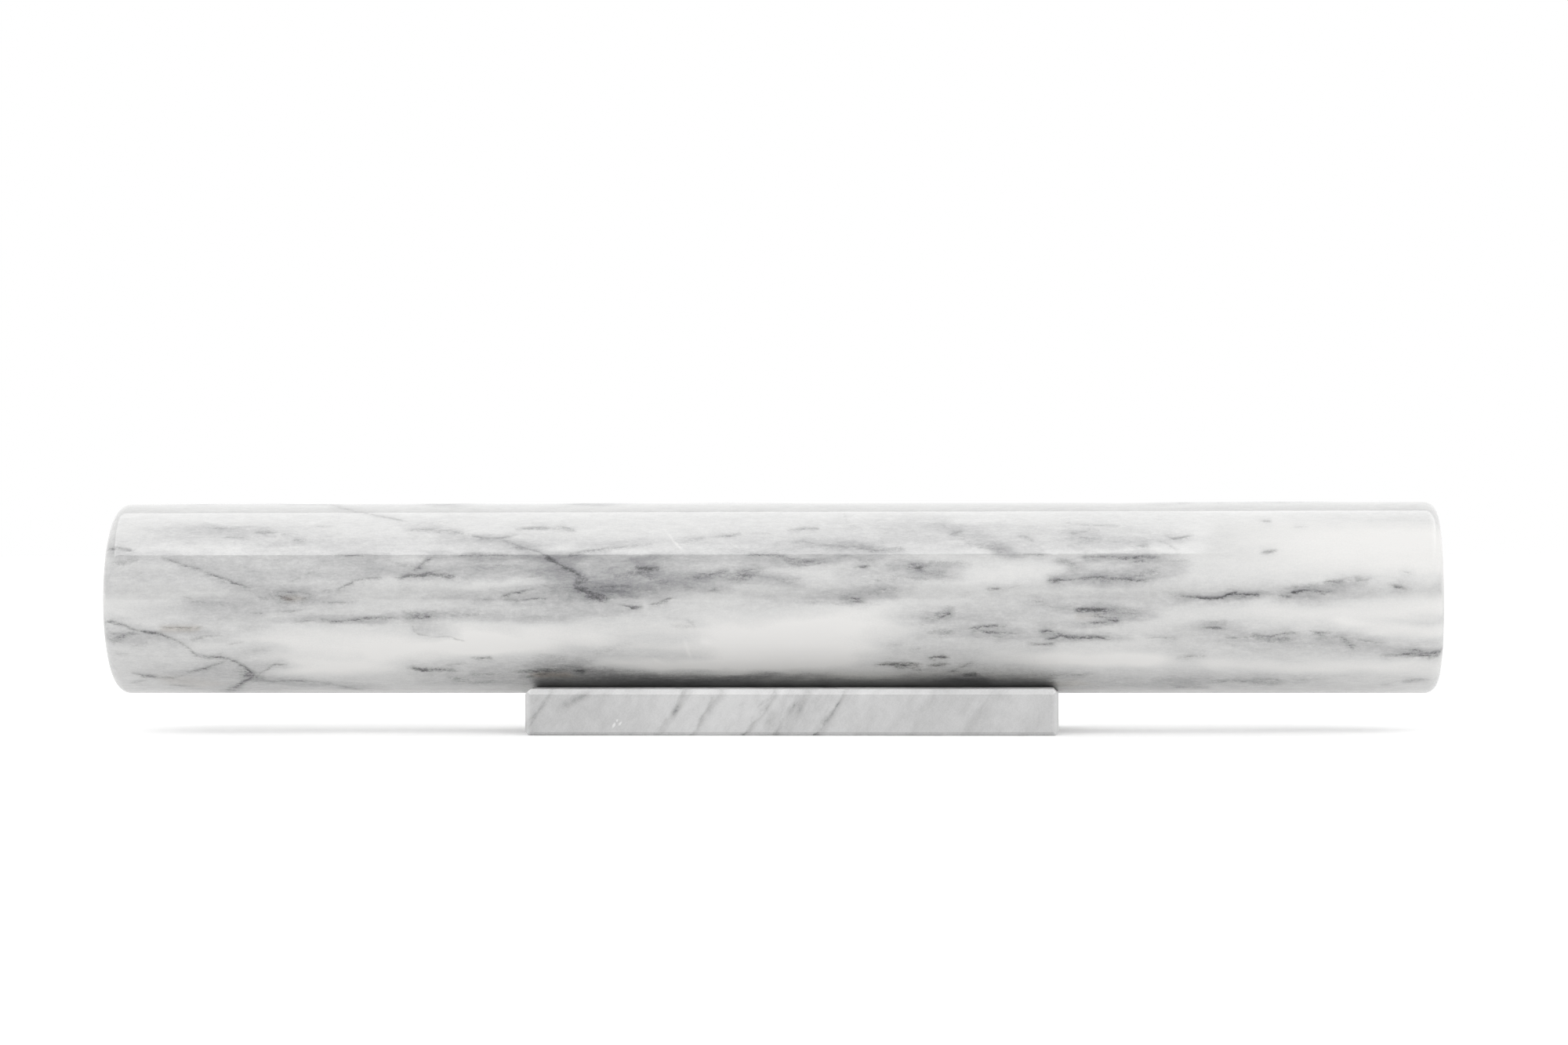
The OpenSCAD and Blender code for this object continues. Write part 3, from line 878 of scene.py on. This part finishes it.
def lay_lines(layers, ways, along, around, shown):
    """Holds thin lines in layers of (signed offset, depth, half width), apart from their neighbours."""
    laid = np.zeros(len(along))
    for way in ways:
        reach = max(point[2] for point in way) * VEIN_SHOULDER + VEIN_REACH + VEIN_TAPER
        near = in_reach(way, along, reach)
        gap, offset, past, half, depth = follow(way, along[near], around[near], 1.0)
        depth = depth * bump(gap / (half * VEIN_SHOULDER + VEIN_REACH))
        depth = depth * bump(past / VEIN_TAPER) * shown[near]
        touched = near[depth > 0]
        layer = min(layers, key=lambda held: held[touched, 1].sum())
        deeper = depth > layer[near, 1]
        layer[near[deeper]] = np.stack([offset, depth, half], 1)[deeper]
        laid[near] = np.maximum(laid[near], depth)
    return laid


def paint_pin(mesh):
    """Lays clouds, smudges, stains and veins on the points of the pin, with painted shade and painted light
    among the clouds along its foot.
    """
    along, around, places = skin_places(mesh)
    x, y, z = places.T
    noise.seed_set(BEND_SEED)
    slow, quick = bends(places, *SLOW_BEND), bends(places, *QUICK_BEND)
    # How much of a point belongs to an end face: all on the flat, and less over the arris
    face = np.clip(1 - (PIN_HALF - np.abs(x) * MM) / (PIN_END_RADIUS * FACE_SHARE), 0, 1)
    unseen = unseen_markings()
    clouds = np.full(len(along), GROUND_DEPTH)
    smudges, rust = np.zeros(len(along)), np.zeros(len(along))
    layers = np.zeros((VEIN_LAYERS + 1, len(along), 3))
    layers[:, :, 2] = 1.0
    for across, up, shown, cloud_ways, smudge_ways, vein_ways in (
        (
            along, around, 1 - face, measured(CLOUDS_AND_PAINTED_SHADE) + unseen["clouds"],
            measured(SMUDGES) + unseen["smudges"], measured(VEINS) + unseen["veins"],
        ),
        (
            y, z, face * (x < 0),
            on_face(LEFT_END_CLOUDS), on_face(LEFT_END_SMUDGES), on_face(LEFT_END_VEINS),
        ),
        (
            y, z, face * (x > 0),
            on_face(RIGHT_END_CLOUDS), on_face(RIGHT_END_SMUDGES), on_face(RIGHT_END_VEINS),
        ),
    ):
        cloud_across = across + CLOUD_BEND_ALONG[0] * slow[:, 0] + CLOUD_BEND_ALONG[1] * quick[:, 0]
        cloud_up = up + CLOUD_BEND_ROUND[0] * slow[:, 1] + CLOUD_BEND_ROUND[1] * quick[:, 1]
        lay_spots(clouds, cloud_ways, cloud_across, cloud_up, shown, CLOUD_SQUEEZE, True)
        smudge_across = across + SMUDGE_BEND[0] * quick[:, 2]
        smudge_up = up + SMUDGE_BEND[1] * quick[:, 1]
        lay_spots(smudges, smudge_ways, smudge_across, smudge_up, shown, SMUDGE_SQUEEZE, False)
        clouds += HALO * lay_lines(layers[:VEIN_LAYERS], vein_ways, across, up, shown)
    stained_along = along + RUST_BEND * quick[:, 0]
    lay_spots(rust, measured(RUST_STAINS), stained_along, around, 1 - face, SMUDGE_SQUEEZE, False)
    lay_lines(layers[VEIN_LAYERS:], measured(CALCITE_MARKS), along, around, 1 - face)
    for name, values in (("clouds", clouds), ("smudges", smudges), ("rust", rust)):
        mesh.attributes.new(name, "FLOAT", "POINT").data.foreach_set("value", values)
    for i, layer in enumerate(layers):
        held = mesh.attributes.new("lines_%d" % i, "FLOAT_VECTOR", "POINT")
        held.data.foreach_set("vector", layer.ravel())


# Noises of the pin's stone, drawn out along it: name, length and height in millimetres, detail and
# roughness. Its crystals, about 0.2 mm, are too fine to show, so the grain is drawn twice as coarse
PIN_NOISES = (
    ("drift", 16.0, 5.0, 6.0, 0.62),
    ("streak", 3.8, 1.3, 6.0, 0.68),
    ("thread", 1.3, 0.55, 4.0, 0.72),
    ("grain", 0.45, 0.40, 2.0, 0.8),
)
# How far the noises move a vein, in millimetres, and how many half widths out it has faded
VEIN_WOBBLE = (("streak", 0.35), ("thread", 0.12))
VEIN_FADE = 2.6
# How much each noise feathers the ground: in white stone, and in grey
FEATHERING = (("drift", 0.03, 0.09), ("streak", 0.02, 0.18), ("thread", 0.01, 0.15))
WHITE_CLOUD, GREY_CLOUD = 0.1, 0.7
PIN_GRAIN = 0.06
# How much the noises eat into the dark marks
RAGGEDNESS = (("streak", 0.4), ("thread", 0.45), ("grain", 0.3))
# From and to of a mark's depth as it shows, and how dark it gets at most
VEIN_SHOWN = (0.03, 1.05, 0.60)
SMUDGE_SHOWN = (0.08, 1.25, 0.46)
RUST_SHOWN = 0.2
# Grey of the ground, by cloud depth over the deepest
DEEPEST_GREY = 1.5
PIN_GROUND = (
    (0.0, linear("#EEEDEB")), (0.2, linear("#DADAD9")), (0.4, linear("#C1C1C1")),
    (0.667, linear("#A0A0A1")), (1.0, linear("#7F7F81")),
)
MARBLE_IOR = 1.6
PIN_ROUGHNESS = 0.05


def thin_lines(tree, fields):
    """How deep the dark veins and the white calcite show, from the lines held on the mesh."""
    wobble = roughened(tree, 0.0, fields, VEIN_WOBBLE)
    lines = []
    for i in range(VEIN_LAYERS + 1):
        # A signed distance, a depth and a half width. The last layer is calcite
        held = add(tree, "ShaderNodeAttribute", attribute_name="lines_%d" % i).outputs["Vector"]
        held = add(tree, "ShaderNodeSeparateXYZ", {0: held}).outputs
        away = add(tree, "ShaderNodeMath", {0: held["X"], 1: wobble}, operation="ADD").outputs[0]
        away = add(tree, "ShaderNodeMath", {0: away}, operation="ABSOLUTE").outputs[0]
        edge = add(tree, "ShaderNodeMath", {0: held["Z"], 1: VEIN_FADE}, operation="MULTIPLY").outputs[0]
        line = add(
            tree, "ShaderNodeMapRange",
            {"Value": away, "From Min": 0.0, "From Max": edge, "To Min": held["Y"], "To Max": 0.0},
        ).outputs[0]
        if 0 < i < VEIN_LAYERS:
            line = add(tree, "ShaderNodeMath", {0: lines.pop(), 1: line}, operation="MAXIMUM").outputs[0]
        lines.append(line)
    return lines


def clouded_ground(tree, fields):
    """Colour of the pin's ground: its clouds, some of them painted shade and painted light along its foot,
    feathered by noise that grows with them.
    """
    clouds = add(tree, "ShaderNodeAttribute", attribute_name="clouds").outputs["Fac"]
    amounts = []
    for name, in_white, in_grey in FEATHERING:
        amount = add(
            tree, "ShaderNodeMapRange",
            {
                "Value": clouds, "From Min": WHITE_CLOUD, "From Max": GREY_CLOUD,
                "To Min": in_white, "To Max": in_grey,
            },
        ).outputs[0]
        amounts.append((name, amount))
    grey = roughened(tree, clouds, fields, amounts + [("grain", PIN_GRAIN)])
    grey = add(tree, "ShaderNodeMath", {0: grey, 1: 1 / DEEPEST_GREY}, operation="MULTIPLY").outputs[0]
    ground = add(tree, "ShaderNodeValToRGB", {0: grey})
    set_ramp(ground, PIN_GROUND)
    return ground.outputs[0]


def dark_marks(tree, fields, veins):
    """How dark the veins and smudges show, ragged where the noise eats into them."""
    smudges = add(tree, "ShaderNodeAttribute", attribute_name="smudges").outputs["Fac"]
    ragged = roughened(tree, 1.0, fields, RAGGEDNESS)
    shown = []
    for mark, (low, high, deepest) in ((veins, VEIN_SHOWN), (smudges, SMUDGE_SHOWN)):
        worn = add(tree, "ShaderNodeMath", {0: mark, 1: ragged}, operation="MULTIPLY").outputs[0]
        shown.append(add(
            tree, "ShaderNodeMapRange",
            {"Value": worn, "From Min": low, "From Max": high, "To Min": 0.0, "To Max": deepest},
            interpolation_type="SMOOTHSTEP",
        ).outputs[0])
    return add(tree, "ShaderNodeMath", {0: shown[0], 1: shown[1]}, operation="MAXIMUM").outputs[0]


def polished_pin_marble():
    """White marble, turned and polished: sharp reflections over warm white, with grey clouds and veins."""
    material = bpy.data.materials.new("polished_white_marble")
    tree = empty_tree(material)
    object_place = add(tree, "ShaderNodeTexCoord").outputs["Object"]
    # Millimetres from the middle of the pin
    place = add(
        tree, "ShaderNodeMapping",
        {"Vector": object_place, "Location": (0, 0, -PIN_AXIS_Z / MM), "Scale": (1 / MM,) * 3},
    ).outputs[0]
    fields = noise_fields(tree, place, PIN_NOISES)
    veins, calcite = thin_lines(tree, fields)
    rust = add(tree, "ShaderNodeAttribute", attribute_name="rust").outputs["Fac"]
    rust = add(tree, "ShaderNodeMath", {0: rust, 1: RUST_SHOWN}, operation="MULTIPLY").outputs[0]
    stone = clouded_ground(tree, fields)
    dark = dark_marks(tree, fields, veins)
    for factor, code in ((rust, "#B8A286"), (dark, "#5A5A5B"), (calcite, "#F2F1EF")):
        stone = add(
            tree, "ShaderNodeMix", {"Factor": factor, "A": stone, "B": linear(code)}, data_type="RGBA"
        ).outputs["Result"]
    surface = add(
        tree, "ShaderNodeBsdfPrincipled",
        {"Base Color": stone, "Roughness": PIN_ROUGHNESS, "IOR": MARBLE_IOR},
    )
    add(tree, "ShaderNodeOutputMaterial", {"Surface": surface.outputs[0]})
    return material


# Veins of the base, as they cross the middle of its front in the photograph: (pixel x, half width in
# pixels, depth in hundredths). They stand in slanting planes that run through the whole slab
BASE_FRONT_ROW = 908
BASE_VEINS = [
    (690, 4, 24), (860, 7, 36), (905, 5.5, 42), (969, 6.5, 36), (1014, 10, 16), (1064, 3.6, 90),
    (1180, 10, 10), (1252, 12, 10),
]
# Grey of its ground between the veins: (pixel x, grey in hundredths)
BASE_GREYS = [
    (670, 46), (735, 47), (790, 40), (850, 32), (935, 24), (990, 40), (1040, 42), (1085, 34), (1140, 38),
    (1195, 46), (1260, 44), (1300, 40), (1330, 46),
]
# Marks of its own on the front: (pixel x, pixel y, half length and half height in millimetres, tilt in
# degrees, depth in hundredths)
BASE_MARKS = [
    (738, 890, 4.5, 1.4, 26, 34), (722, 900, 4, 1.8, 40, 16), (682, 912, 3.4, 0.9, 62, 10),
    (861, 907, 2.6, 0.9, 57, 26), (983, 916, 3.6, 1.4, 60, 22), (1012, 901, 2.8, 1, 48, 30),
    (1022, 903, 4.2, 1.1, 66, 24), (1066, 902, 3, 0.6, 64, 20), (1234, 900, 4, 1.6, 62, 12),
    (783, 925, 0.9, 0.4, 62, -90), (787, 919, 0.5, 0.3, 75, -80), (791, 923, 0.7, 0.3, 50, -70),
]
BASE_MARK_THICKNESS = 8.0
BASE_MARK_FADE = 1.3
BASE_MARK_BEND = (("streak", 0.35),)
# How the planes lie: their lean, how much they turn towards the back, and the millimetres they span
BASE_VEIN_LEAN = math.radians(57)
BASE_VEIN_SKEW = 0.35
BASE_SPAN = 220.0
# Noises of the base's stone: name, width across the veins and length along them in millimetres, detail and
# roughness. Its crystals are too fine to show too, and the grain is as coarse as the pin's
BASE_NOISES = (
    ("drift", 7.0, 16.0, 5.0, 0.6),
    ("streak", 1.8, 4.0, 5.0, 0.65),
    ("patch", 3.5, 3.5, 3.0, 0.6),
    ("grain", 0.45, 0.5, 2.0, 0.8),
)
# How far the noises bend the planes, in millimetres, how they mottle the grey, and how they break the veins
BASE_BENDS = (("drift", 1.6), ("streak", 0.35))
BASE_MOTTLE = (("drift", 0.12), ("patch", 0.05), ("streak", 0.10), ("grain", 0.10))
BASE_VEIN_STRENGTH = 0.9
BASE_VEIN_BREAKS = (("streak", 0.3), ("patch", 0.35))
# Painted light: the ground arrises at the base's two ends are painted paler than the faces, as a highlight
# where side light falls on them
END_ARRIS_PAINTED_LIGHT = -0.32
END_ARRIS_REACH = 1.1 * MM
BASE_GROUND = (
    (0.0, linear("#E8E8E8")), (0.1, linear("#DDDDDD")), (0.3, linear("#D3D3D3")),
    (0.6, linear("#BDBDBD")), (1.0, linear("#868688")),
)
BASE_ROUGHNESS = 0.4


def across_slab(px, py):
    """How far across the slanting planes a pixel of the base's front lies, from nought to one."""
    x, z = on_base(px, py)
    spot = Matrix.Rotation(BASE_VEIN_LEAN - math.pi / 2, 3, "Y") @ Vector((x, BASE_LOW.y / MM, z))
    return 0.5 + (spot.x + BASE_VEIN_SKEW * spot.y) / BASE_SPAN


def slanting_share(tree, place, fields):
    """How far across the slanting planes a place lies, from nought to one, bent by the noise."""
    parts = add(tree, "ShaderNodeSeparateXYZ", {0: place}).outputs
    across = add(
        tree, "ShaderNodeMath", {0: parts["Y"], 1: BASE_VEIN_SKEW, 2: parts["X"]}, operation="MULTIPLY_ADD"
    ).outputs[0]
    across = roughened(tree, across, fields, BASE_BENDS)
    return add(
        tree, "ShaderNodeMapRange",
        {"Value": across, "From Min": -BASE_SPAN / 2, "From Max": BASE_SPAN / 2},
    ).outputs[0]


def end_arris_painted_light(tree, object_place):
    """Painted light: what the grey loses near the arrises at the base's two ends, a painted highlight."""
    away = add(tree, "ShaderNodeSeparateXYZ", {0: object_place}).outputs["X"]
    base_middle = (BASE_LOW.x + BASE_HIGH.x) / 2
    arris_middle = (BASE_HIGH.x - BASE_LOW.x) / 2 - TOP_CHAMFER / 2
    for level in (base_middle, arris_middle):
        away = add(tree, "ShaderNodeMath", {0: away, 1: level}, operation="SUBTRACT").outputs[0]
        away = add(tree, "ShaderNodeMath", {0: away}, operation="ABSOLUTE").outputs[0]
    return add(
        tree, "ShaderNodeMapRange",
        {
            "Value": away, "From Min": 0.0, "From Max": END_ARRIS_REACH,
            "To Min": END_ARRIS_PAINTED_LIGHT, "To Max": 0.0,
        },
        interpolation_type="SMOOTHSTEP",
    ).outputs[0]


def base_mark(tree, object_place, fields, px, py, length, height, tilt, depth):
    """Grey of one soft mark on the base's front."""
    x, z = on_base(px, py)
    held = add(
        tree, "ShaderNodeMapping",
        {
            "Vector": object_place, "Location": (x * MM, BASE_LOW.y, z * MM),
            "Rotation": (0, -math.radians(tilt), 0),
            "Scale": (length * MM, BASE_MARK_THICKNESS * MM, height * MM),
        },
        vector_type="TEXTURE",
    ).outputs[0]
    away = add(tree, "ShaderNodeVectorMath", {0: held}, operation="LENGTH").outputs["Value"]
    away = roughened(tree, away, fields, BASE_MARK_BEND)
    return add(
        tree, "ShaderNodeMapRange",
        {"Value": away, "From Min": 0.0, "From Max": BASE_MARK_FADE, "To Min": depth / 100, "To Max": 0.0},
        interpolation_type="SMOOTHSTEP",
    ).outputs[0]


def honed_base_marble():
    """Pale grey marble, sawn and honed: a dull sheen over soft clouds and slanting grey veins."""
    material = bpy.data.materials.new("honed_grey_marble")
    tree = empty_tree(material)
    object_place = add(tree, "ShaderNodeTexCoord").outputs["Object"]
    # Millimetres, turned so that X runs square to the veins and Z along them
    place = add(
        tree, "ShaderNodeMapping",
        {"Vector": object_place, "Scale": (1 / MM,) * 3, "Rotation": (0, BASE_VEIN_LEAN - math.pi / 2, 0)},
    ).outputs[0]
    fields = noise_fields(tree, place, BASE_NOISES)
    share = slanting_share(tree, place, fields)
    veins = add(tree, "ShaderNodeValToRGB", {0: share})
    stops = []
    for px, half_width, depth in BASE_VEINS:
        for edge, height in ((-half_width, 0.0), (0.0, depth / 100), (half_width, 0.0)):
            stops.append((across_slab(px + edge, BASE_FRONT_ROW), height))
    set_ramp(veins, sorted(stops))
    ground_grey = add(tree, "ShaderNodeValToRGB", {0: share})
    set_ramp(ground_grey, [(across_slab(px, BASE_FRONT_ROW), grey / 100) for px, grey in BASE_GREYS])
    grey = roughened(tree, ground_grey.outputs[0], fields, BASE_MOTTLE)
    broken = roughened(tree, BASE_VEIN_STRENGTH, fields, BASE_VEIN_BREAKS)
    marks = [base_mark(tree, object_place, fields, *mark) for mark in BASE_MARKS]
    for mark in [veins.outputs[0]] + marks:
        grey = add(
            tree, "ShaderNodeMath", {0: mark, 1: broken, 2: grey}, operation="MULTIPLY_ADD"
        ).outputs[0]
    # Painted light: the end arrises are made paler, a painted highlight
    painted_light = end_arris_painted_light(tree, object_place)
    grey = add(tree, "ShaderNodeMath", {0: grey, 1: painted_light}, operation="ADD").outputs[0]
    ground = add(tree, "ShaderNodeValToRGB", {0: grey})
    set_ramp(ground, BASE_GROUND)
    surface = add(
        tree, "ShaderNodeBsdfPrincipled",
        {"Base Color": ground.outputs[0], "Roughness": BASE_ROUGHNESS, "IOR": MARBLE_IOR},
    )
    add(tree, "ShaderNodeOutputMaterial", {"Surface": surface.outputs[0]})
    return material


pin = build_pin()
paint_pin(pin.data)
pin.data.materials.append(polished_pin_marble())
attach(pin, "rolling_pin")
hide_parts("rolling_pin")

base = build_base()
base.data.materials.append(honed_base_marble())
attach(base, "base")
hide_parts("base")


# Stage: a plain pale floor. To the camera it is so bright that only the soft shadow under the pin shows
# on it. To the stones it is a white table that glows faintly
FLOOR_HALF = 6.0
FLOOR_DROP = 0.05 * MM
FLOOR_SEEN, FLOOR_WHITE = 1.18, 0.9
FLOOR_GLOW = 0.10


def build_floor():
    """A matt white floor just under the base."""
    bm = bmesh.new()
    bmesh.ops.create_grid(bm, x_segments=1, y_segments=1, size=FLOOR_HALF)
    bmesh.ops.translate(bm, verts=bm.verts, vec=(0, 0, -FLOOR_DROP))
    made = mesh_object("floor", bm)
    material = bpy.data.materials.new("pale_matt_floor")
    tree = empty_tree(material)
    seen = add(tree, "ShaderNodeLightPath").outputs["Is Camera Ray"]
    white = add(tree, "ShaderNodeMapRange", {"Value": seen, "To Min": FLOOR_WHITE, "To Max": FLOOR_SEEN})
    paint = add(tree, "ShaderNodeBsdfDiffuse", {"Color": white.outputs[0]})
    lift = add(tree, "ShaderNodeMapRange", {"Value": seen, "To Min": FLOOR_GLOW, "To Max": 0.0})
    glow = add(tree, "ShaderNodeEmission", {"Strength": lift.outputs[0]})
    both = add(tree, "ShaderNodeAddShader", {0: paint.outputs[0], 1: glow.outputs[0]})
    add(tree, "ShaderNodeOutputMaterial", {"Surface": both.outputs[0]})
    made.data.materials.append(material)
    return made


# Light: two soft panels above the pin that show in its polish alone, and the studio round it
SOFTBOX_RISE = 0.60
SOFTBOX_DEPTH = 0.88
SOFTBOX_LEFT = -0.50
SOFTBOX_RIGHT = 0.14
SIDE_PANEL_RIGHT = 0.70
# Brightness of the studio by height, from level to straight up. In front is a dim room at eye level with
# bright soft panels above it, and behind is a white backdrop
STUDIO_FRONT = ((0.18, 0.2), (0.36, 1.45), (0.70, 1.45), (1.0, 0.45))
STUDIO_BACK = ((0.0, 1.2), (0.54, 1.28), (0.72, 1.25), (0.82, 0.8), (1.0, 0.45))
BACK_FROM, BACK_TO = -0.1, 0.3


def overhead_panel(name, left, right, front_radiance, back_radiance):
    """A soft panel above the pin, from one brightness at its front edge to another at its back edge."""
    light = bpy.data.lights.new(name, "AREA")
    light.shape = "RECTANGLE"
    light.size = right - left
    light.size_y = SOFTBOX_DEPTH
    light.energy = math.pi * light.size * light.size_y
    tree = empty_tree(light)
    spot = add(tree, "ShaderNodeTexCoord").outputs["UV"]
    spot = add(tree, "ShaderNodeSeparateXYZ", {0: spot}).outputs
    fade = add(
        tree, "ShaderNodeMapRange", {"Value": spot["Y"], "To Min": front_radiance, "To Max": back_radiance}
    ).outputs[0]
    glow = add(tree, "ShaderNodeEmission", {"Strength": fade}).outputs[0]
    add(tree, "ShaderNodeOutputLight", {0: glow})
    made = bpy.data.objects.new(name, light)
    bpy.context.scene.collection.objects.link(made)
    made.location = ((left + right) / 2, 0.0, PIN_AXIS_Z + SOFTBOX_RISE)
    made.visible_camera = False
    made.visible_diffuse = False
    return made


def build_studio():
    """The world: the studio's front and back to the stones, and plain white to the camera."""
    world = bpy.data.worlds.new("white_studio")
    bpy.context.scene.world = world
    tree = empty_tree(world)
    direction = add(tree, "ShaderNodeTexCoord").outputs["Generated"]
    direction = add(tree, "ShaderNodeSeparateXYZ", {0: direction}).outputs
    front = add(tree, "ShaderNodeValToRGB", {0: direction["Z"]})
    set_ramp(front, STUDIO_FRONT)
    back = add(tree, "ShaderNodeValToRGB", {0: direction["Z"]})
    set_ramp(back, STUDIO_BACK)
    backness = add(
        tree, "ShaderNodeMapRange", {"Value": direction["Y"], "From Min": BACK_FROM, "From Max": BACK_TO},
        interpolation_type="SMOOTHSTEP",
    ).outputs[0]
    colour = add(
        tree, "ShaderNodeMix", {"Factor": backness, "A": front.outputs[0], "B": back.outputs[0]},
        data_type="RGBA",
    ).outputs["Result"]
    seen = add(tree, "ShaderNodeLightPath").outputs["Is Camera Ray"]
    colour = add(
        tree, "ShaderNodeMix", {"Factor": seen, "A": colour, "B": (1.0, 1.0, 1.0, 1.0)}, data_type="RGBA"
    ).outputs["Result"]
    sky = add(tree, "ShaderNodeBackground", {"Color": colour}).outputs[0]
    add(tree, "ShaderNodeOutputWorld", {"Surface": sky})
    return world


def build_camera():
    """A camera at the photograph's place, with its lens and its slight roll."""
    camera_data = bpy.data.cameras.new("photo_camera")
    camera_data.sensor_width = SENSOR_WIDTH
    camera_data.lens = SENSOR_WIDTH * FOCAL_PIXELS / PHOTO_WIDTH
    camera_data.clip_start = 0.01
    camera_data.clip_end = 50.0
    camera = bpy.data.objects.new("photo_camera", camera_data)
    bpy.context.scene.collection.objects.link(camera)
    axes = Matrix((camera_right, camera_up, -camera_forward)).transposed()
    camera.matrix_world = Matrix.Translation(camera_place) @ axes.to_4x4()
    return camera


# The photograph was developed with deep shadows: (brightness of the scene, brightness in the picture)
DEVELOPMENT = (
    (0.10, 0.035), (0.15, 0.06), (0.20, 0.10), (0.27, 0.19), (0.34, 0.31), (0.42, 0.42), (0.52, 0.525),
)

build_floor()
overhead_panel("overhead_softbox", SOFTBOX_LEFT, SOFTBOX_RIGHT, front_radiance=2.9, back_radiance=1.5)
overhead_panel("side_panel", SOFTBOX_RIGHT, SIDE_PANEL_RIGHT, front_radiance=0.5, back_radiance=1.9)
build_studio()
bpy.context.scene.camera = build_camera()

view = bpy.context.scene.view_settings
view.view_transform = "Standard"
view.look = "None"
view.use_curve_mapping = True
for place, level in DEVELOPMENT:
    view.curve_mapping.curves[3].points.new(place, level)
view.curve_mapping.update()
